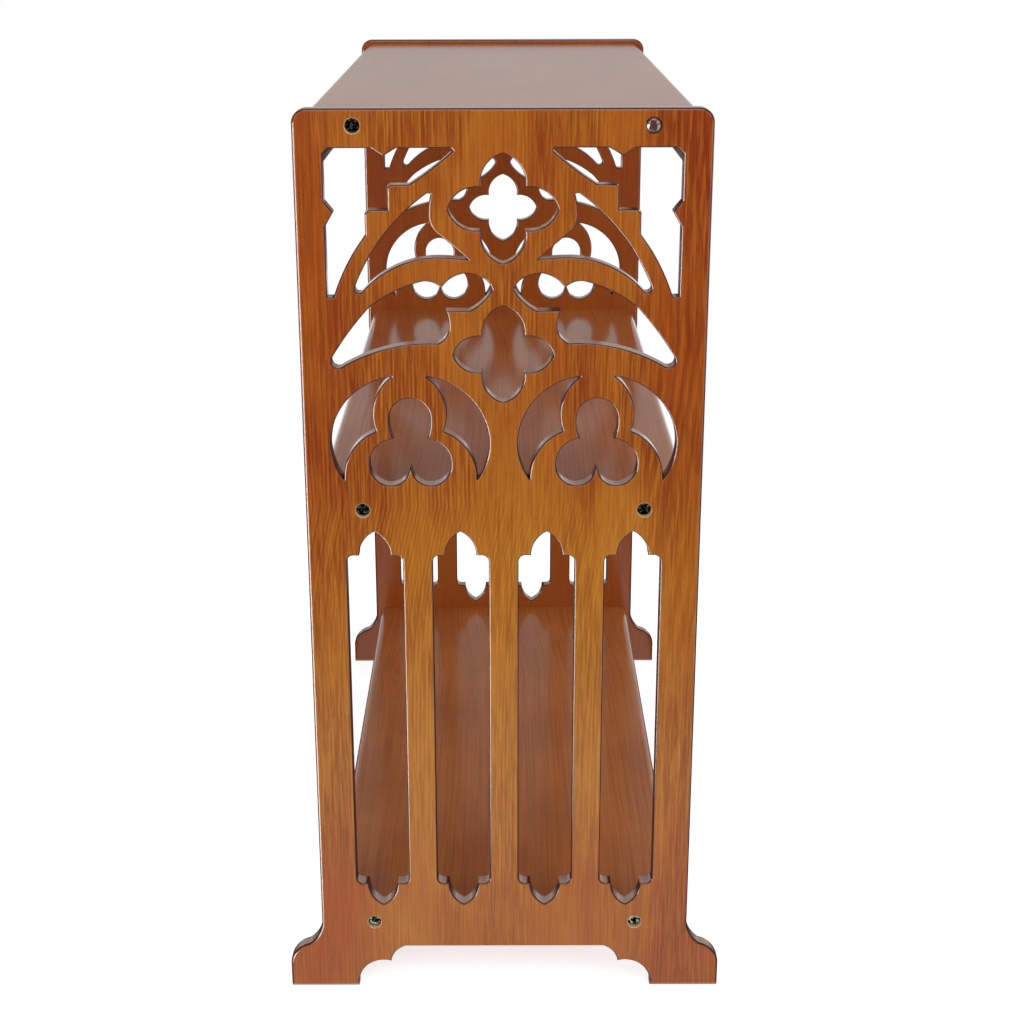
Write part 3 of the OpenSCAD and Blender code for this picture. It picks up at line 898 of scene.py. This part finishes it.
# %% [markdown]
# ## One end panel
# The panel is its two flats, each cut round the openings and bores, the routed edges between them, and
# the bores. Behind the outer corner of each spandrel stands a small triangular web, set back from the
# face, where the carver left wood to stiffen the corner. The second panel is the first one turned half
# a turn about Z.

# %% Panels
MOUTH_R = 0.7 * MM            # softened mouth of a counterbore
HEAD_DEPTH = 10 * MM          # depth of a counterbore
SHANK_R = 3.25 * MM           # radius of the bore behind it
DOWEL_DEPTH = 10 * MM         # depth of the blind holes behind
SPANDREL_ASIDE = 40 * MM      # a spandrel's middle is farther than this from the panel's
WEB_SETBACK = 6 * MM          # of a web, behind the face
WEB_ACROSS, WEB_DROP = 9.2 * MM, 11.6 * MM     # how far it reaches from the spandrel's corner
WEB_SINK = 2.5 * MM           # how far it runs into the wood round it


def circle_of(loop):
    """The middle and the radius of a round loop."""
    centre = loop.mean(axis=0)
    return centre, np.linalg.norm(loop - centre, axis=1).max()


def bore_patches(loops, far_loops):
    """Counterbores and shank bores through the panel, blind dowel holes behind, and their mouths. A
    mouth is a quarter circle, and the holes behind that are wider than a shank bore are for dowels."""
    patches, near_mouths, far_mouths = [], [], []
    seat_x = outer_face - HEAD_DEPTH
    for loop in loops:
        centre, radius = circle_of(loop)
        lips = [(outer_face - MOUTH_R * (1 - np.cos(a)), radius + MOUTH_R * (1 - np.sin(a)))
                for a in np.linspace(0, np.pi / 2, 4)]
        well = [(lips[-1][0], radius), (seat_x, radius), (seat_x, SHANK_R), (inner_face, SHANK_R)]
        patches += [turned(profile, centre, inside=True, finish=BARE) for profile in (lips, well)]
        near_mouths.append(ring(lips[0][1], centre, outer_face))
        far_mouths.append(ring(SHANK_R, centre, inner_face))
    for loop in far_loops:
        centre, radius = circle_of(loop)
        if radius > SHANK_R + 0.2 * MM:
            hole = [(inner_face, radius), (inner_face + DOWEL_DEPTH, radius), (inner_face + DOWEL_DEPTH, 0)]
            patches.append(turned(hole, centre, finish=BARE))
            far_mouths.append(ring(radius, centre, inner_face))
    return patches, near_mouths, far_mouths


def web_patch(hand):
    """The triangular web behind a spandrel's outer top corner, as a closed prism of five walls."""
    spandrel = max((loop for loop in outlines if loop.mean(axis=0)[0] * hand > SPANDREL_ASIDE),
                   key=lambda loop: loop[:, 1].max())
    top = spandrel[:, 1].max()
    side = np.abs(spandrel[:, 0]).max()
    flat = np.array([[side + WEB_SINK, top + WEB_SINK], [side - WEB_ACROSS, top + WEB_SINK],
                     [side - WEB_ACROSS, top], [side, top - WEB_DROP], [side + WEB_SINK, top - WEB_DROP]])
    flat[:, 0] *= hand
    if loop_area(flat) < 0:
        flat = flat[::-1]
    near, far = lifted(flat, outer_face - WEB_SETBACK), lifted(flat, inner_face)
    out = -left_of(unit(np.roll(flat, -1, axis=0) - flat))
    ends = [[number, (number + 1) % len(flat)] for number in range(len(flat))]
    walls = [sheet(np.array([near[end], far[end]]), np.array([0, *outward]), finish=GREY_BROWN)
             for end, outward in zip(ends, out)]
    return walls + [flat_face([near], (1, 0, 0), finish=GREY_BROWN), flat_face([far], (-1, 0, 0), finish=GREY_BROWN)]


def panel_patches():
    """All the patches of the panel at the +X end."""
    patches, near_rims, far_rims = [], [], []
    for outline in sorted(outlines, key=loop_area, reverse=True):
        band, near, far = routed_edge(outline, RIM_R if loop_area(outline) > 0 else EDGE_R)
        patches.append(band)
        near_rims.append(near)
        far_rims.append(far)
    bores, near_mouths, far_mouths = bore_patches(counterbores, far_bores)
    patches += bores
    patches.append(flat_face(near_rims + near_mouths, (1, 0, 0)))
    patches.append(flat_face(far_rims + far_mouths, (-1, 0, 0)))
    return patches + web_patch(-1) + web_patch(1)


def half_turn(patch):
    """The patch turned half a turn about Z."""
    points, faces, normals, rims, finishes = patch
    about = np.array([-1, -1, 1])
    return points * about, faces, normals * about, rims, finishes


right_patches = panel_patches()
left_patches = [half_turn(patch) for patch in right_patches]
for name, patches in (("right_end_panel", right_patches), ("left_end_panel", left_patches)):
    panel = joined(name + "_wood", patches, [oak_panel, core_wood, web_wood])
    dress(panel, name)

# %% [markdown]
# ## The shelves
# A shelf is a board with its two long edges turned to full rounds. The round is a profile carried along
# the board: a half circle of the board's thickness at each edge. The underside is cut round the four
# holes that take the barrel nuts, which is what one sees when the stand is lifted off the floor.

# %% Boards
ROUND_STEPS = 18
NUT_HOLE_R = 5.1 * MM
NUT_HOLE_DEPTH = 15.8 * MM


def board_patches(node, nuts):
    """The patches of one shelf: rounds, nut holes, top, underside and ends. At each angle a round lies
    its cosine outwards and its sine upwards, times half the thickness."""
    low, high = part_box(node)
    radius, middle = (high.z - low.z) / 2, (high.z + low.z) / 2
    edge = high.y - radius
    angles = np.linspace(np.pi / 2, -np.pi / 2, ROUND_STEPS + 1)
    patches, ends = [], []
    for hand in (1, -1):
        outward = np.column_stack([np.zeros(len(angles)), hand * np.cos(angles), np.sin(angles)])
        line = outward * radius + np.array([0, hand * edge, middle])
        rows = np.stack([line + np.array([x, 0, 0]) for x in (low.x, high.x)])
        patches.append(sheet(rows, outward) if hand > 0 else turned_patch(sheet(rows, -outward)))
        ends.append(line if hand > 0 else line[::-1])
    corners = (low.x, -edge), (high.x, -edge), (high.x, edge), (low.x, edge)
    top = np.array([[x, y, high.z] for x, y in corners])
    under = top * [1, 1, 0] + [0, 0, low.z]
    holes = []
    for nut in nuts:
        nut_low, nut_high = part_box(nut)
        centre = np.array([(nut_low.x + nut_high.x) / 2, (nut_low.y + nut_high.y) / 2])
        holes.append(ring(NUT_HOLE_R, centre, low.z, Z_AXIS))
        well = [(low.z, NUT_HOLE_R), (low.z + NUT_HOLE_DEPTH, NUT_HOLE_R), (low.z + NUT_HOLE_DEPTH, 0)]
        patches.append(turned(well, centre, axis=Z_AXIS, finish=BARE))
    patches.append(flat_face([top], (0, 0, 1)))
    patches.append(flat_face([under] + holes, (0, 0, -1)))
    outline = np.concatenate(ends)
    for x, facing in ((low.x, -1), (high.x, 1)):
        patches.append(flat_face([outline + np.array([x, 0, 0])], (facing, 0, 0), finish=BARE))
    return patches


for node in ("top_board", "middle_shelf", "bottom_shelf"):
    level = node.split("_")[0]
    nuts = [f"{level}_{side}_{place}_barrel_nut" for side in ("left", "right") for place in ("front", "back")]
    board = joined(node + "_wood", board_patches(node, nuts), [oak_shelf, core_wood])
    dress(board, node)

# %% [markdown]
# ## Fasteners
# The bolts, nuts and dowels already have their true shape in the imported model, so they only take their
# finishes here.

# %% Fastener finishes
FASTENERS = {"_bolt": (steel, "bolt_steel"),
             "_barrel_nut": (zinc, "nut_zinc"),
             "_dowel": (beech, "dowel_beech")}

for ending, (material, slot) in FASTENERS.items():
    nodes = sorted(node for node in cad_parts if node.endswith(ending))
    for node in nodes:
        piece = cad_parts[node]
        piece.data.materials.clear()
        piece.data.materials.append(material)
    print(len(nodes), "pieces of", material.name)

# %% [markdown]
# ## The screw-cover button
# One bolt is hidden under a glossy domed button. Its dome is part of a ball, so its profile is an arc
# that leaves the panel steeply and flattens towards the middle.

# %% Button
BUTTON_SINK = 0.2 * MM        # how far the foot goes into the panel


def button_patches():
    """A dome with a short upright foot, turned about the bolt's line. The radius of the dome's ball is
    the squares of the button's radius and of its rise, added up and shared by twice the rise."""
    low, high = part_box("screw_cover_button")
    centre = [(low.y + high.y) / 2, (low.z + high.z) / 2]
    radius = (high.y - low.y) / 2
    rise = high.x - outer_face
    ball = (radius ** 2 + rise ** 2) / (2 * rise)
    reach = np.arcsin(radius / ball)
    arc = [(high.x - ball * (1 - np.cos(a)), ball * np.sin(a)) for a in np.linspace(0, reach, 16)]
    foot = [(outer_face - BUTTON_SINK, radius), (outer_face - BUTTON_SINK, 0)]
    outwards = [out / radius for _, out in arc] + [1.0, 1.0]
    return [turned(arc + foot, centre, rim=outwards)]


button = joined("screw_cover_button_dome", button_patches(), [button_gloss])
dress(button, "screw_cover_button")

# %% [markdown]
# ## The studio and its floor
# The stand is on a white floor, and each kind of ray is given what it needs. The camera sees plain
# white past the stand, while the floor near the feet keeps its shading, so that the stand stays
# grounded. What lacquer mirrors is given apart: a pale patch of floor straight ahead, a bright card
# lying on it at each side, and a white floor behind. The cards draw the light lines down the openings'
# edges. Light that the surfaces scatter gets an even fill.

# %% Floor
FLOOR_HALF = 40.0                       # metres
FADE = 0.6, 1.5                         # metres from the middle, where shading gives way to plain white
PAPER, ROOM, FILL = 0.5, 0.06, 0.31     # strengths: white paper and dark room as mirrored, and the fill
CARDS = 15.0, 1.5                       # strengths of the cards at the left and right, as mirrored
CARD_SWINGS = (0.6, 0.85), (3.0, 6.0)   # where the cards begin and end
CARD_START = 0.02, 0.06                 # metres in front of the panel
BEHIND = -1.2, -0.4                     # metres along X, where the white floor behind ends
WHITE = 1.0, 1.0, 1.0, 1.0
PALE_GREY = 0.86, 0.86, 0.86, 1.0
CAMERA_LIFT = 0.7                       # added where the camera sees the floor, to keep it white


def ray_strength(tree, mirrored_strength):
    """1 for the camera's own and refracted rays, the given strength for mirrored ones, else the fill."""
    path = add(tree, "LightPath").outputs
    seen = calc(tree, "MAXIMUM", path["Is Camera Ray"], path["Is Transmission Ray"])
    return between(tree, seen, between(tree, path["Is Glossy Ray"], FILL, mirrored_strength), 1.0)


def mirrored_floor(tree, along_x, along_y, away):
    """What lacquer mirrors of the floor. The swing is how far aside a place is from the panel's edge
    for each metre in front of it, and the cards lie between two swings."""
    beyond = less(tree, along_x, outer_face)
    aside = less(tree, unsigned(tree, along_y), cad_high.y)
    swing = calc(tree, "DIVIDE", aside, calc(tree, "MAXIMUM", beyond, 0.001))
    ahead = product(tree, step(tree, swing, 0.15, 0.3, 1.0, 0.0), step(tree, away, *FADE, 0.75, 0.0))
    begin, end = CARD_SWINGS
    card = product(tree, step(tree, swing, *begin), step(tree, swing, *end, 1.0, 0.0),
                   step(tree, along_y, -0.01, 0.01, *CARDS), step(tree, beyond, *CARD_START))
    return total(tree, ahead, card, step(tree, along_x, *BEHIND, 1.1, ROOM))


def floor_finish():
    """Shaded white near the stand, plain white farther off, and its own tones when mirrored."""
    material = bpy.data.materials.new("white_floor")
    tree = empty_tree(material)
    place = add(tree, "TexCoord").outputs["Object"]
    away = add(tree, "VectorMath", {0: place}, operation="LENGTH").outputs["Value"]
    along_x, along_y, _ = add(tree, "SeparateXYZ", {0: place}).outputs
    path = add(tree, "LightPath").outputs
    lit = add(tree, "BsdfDiffuse", {"Color": PALE_GREY})
    camera_lift = product(tree, path["Is Camera Ray"], CAMERA_LIFT)
    lift = add(tree, "Emission", {"Color": WHITE, "Strength": camera_lift})
    near_floor = add(tree, "AddShader", {0: lit.outputs[0], 1: lift.outputs[0]})
    strength = ray_strength(tree, mirrored_floor(tree, along_x, along_y, away))
    plain = add(tree, "Emission", {"Color": WHITE, "Strength": strength})
    far_share = calc(tree, "MAXIMUM", step(tree, away, *FADE), path["Is Glossy Ray"])
    both = add(tree, "MixShader", {0: far_share, 1: near_floor.outputs[0], 2: plain.outputs[0]})
    add(tree, "OutputMaterial", {"Surface": both.outputs[0]})
    return material


corners = [(x * FLOOR_HALF, y * FLOOR_HALF, 0) for x, y in ((-1, -1), (1, -1), (1, 1), (-1, 1))]
floor_mesh = bpy.data.meshes.new("floor")
floor_mesh.from_pydata(corners, [], [(0, 1, 2, 3)])
floor_mesh.materials.append(floor_finish())
floor = bpy.data.objects.new("floor", floor_mesh)
bpy.context.scene.collection.objects.link(floor)
print("floor", 2 * FLOOR_HALF, "m wide")

# %% [markdown]
# ## The room round it
# Behind the stand hangs white paper, bright near the floor and fading upwards, and the room on the
# camera's side is dark. That is why the shelves mirror something pale while the panel's flat face keeps
# its full colour. Two pale windows at the sides and a bright strip high up in the middle are all that
# the dark room has, and the strip draws the light line along the top edges. They are worked out from
# the direction of a ray, because a world needs no objects.

# %% Room
STRIP = 3.0     # strength of the bright strip, as mirrored

world = bpy.data.worlds.new("studio")
bpy.context.scene.world = world
tree = empty_tree(world)
ray_x, ray_y, ray_z = add(tree, "SeparateXYZ", {0: add(tree, "TexCoord").outputs["Generated"]}).outputs
ray_aside = unsigned(tree, ray_y)
paper = product(tree, step(tree, ray_x, -0.5, 0.3, 1.0, 0.0), step(tree, ray_z, 0.12, 0.6, 1.0, 0.15))
strip = product(tree, step(tree, ray_z, 0.64, 0.74), step(tree, ray_x, 0.12, 0.24),
                step(tree, ray_aside, 0.3, 0.5, 1.0, 0.0), STRIP)
windows = product(tree, step(tree, ray_x, 0.3, 0.5), step(tree, ray_aside, 0.35, 0.5),
                  step(tree, ray_z, 0.1, 0.22), step(tree, ray_z, 0.5, 0.6, 1.2, 0.0))
mirrored_room = total(tree, between(tree, paper, ROOM, PAPER), strip, windows)
sky = add(tree, "Background", {"Color": WHITE, "Strength": ray_strength(tree, mirrored_room)})
add(tree, "OutputWorld", {"Surface": sky.outputs[0]})
print(world.name, "has", len(tree.nodes), "nodes")

# %% [markdown]
# ## The lamps
# Large soft lamps light the wood: one low at the left, a stronger one high at the right, a weak one
# overhead, and one behind, which keeps the far panel's outer face from going dark. The lacquer doesn't
# mirror them, because a lamp's hard outline on a polished shelf hides the wood, and the room's windows
# and cards are there for that.

# %% Lamps
AIM = Vector((0.3, 0, 0.45))
LAMPS = (((1.88, -0.90, 1.40), 17.0, 1.3, 2.0),     # place, watts, width and height
         ((1.5, 1.28, 1.80), 26.0, 1.7, 1.9),
         ((-0.2, 0, 2.6), 3.0, 1.8, 1.8),
         ((-1.9, 0.2, 1.5), 9.0, 1.8, 1.8))

for number, (place, watts, wide, tall) in enumerate(LAMPS):
    data = bpy.data.lights.new(f"soft_lamp_{number}", "AREA")
    data.shape, data.size, data.size_y, data.energy = "RECTANGLE", wide, tall, watts
    lamp = bpy.data.objects.new(data.name, data)
    lamp.location = place
    lamp.visible_glossy = False
    lamp.rotation_mode = "QUATERNION"
    lamp.rotation_quaternion = (AIM - Vector(place)).to_track_quat("-Z", "Y")
    bpy.context.scene.collection.objects.link(lamp)
print(len(LAMPS), "lamps,", sum(lamp[1] for lamp in LAMPS), "W")
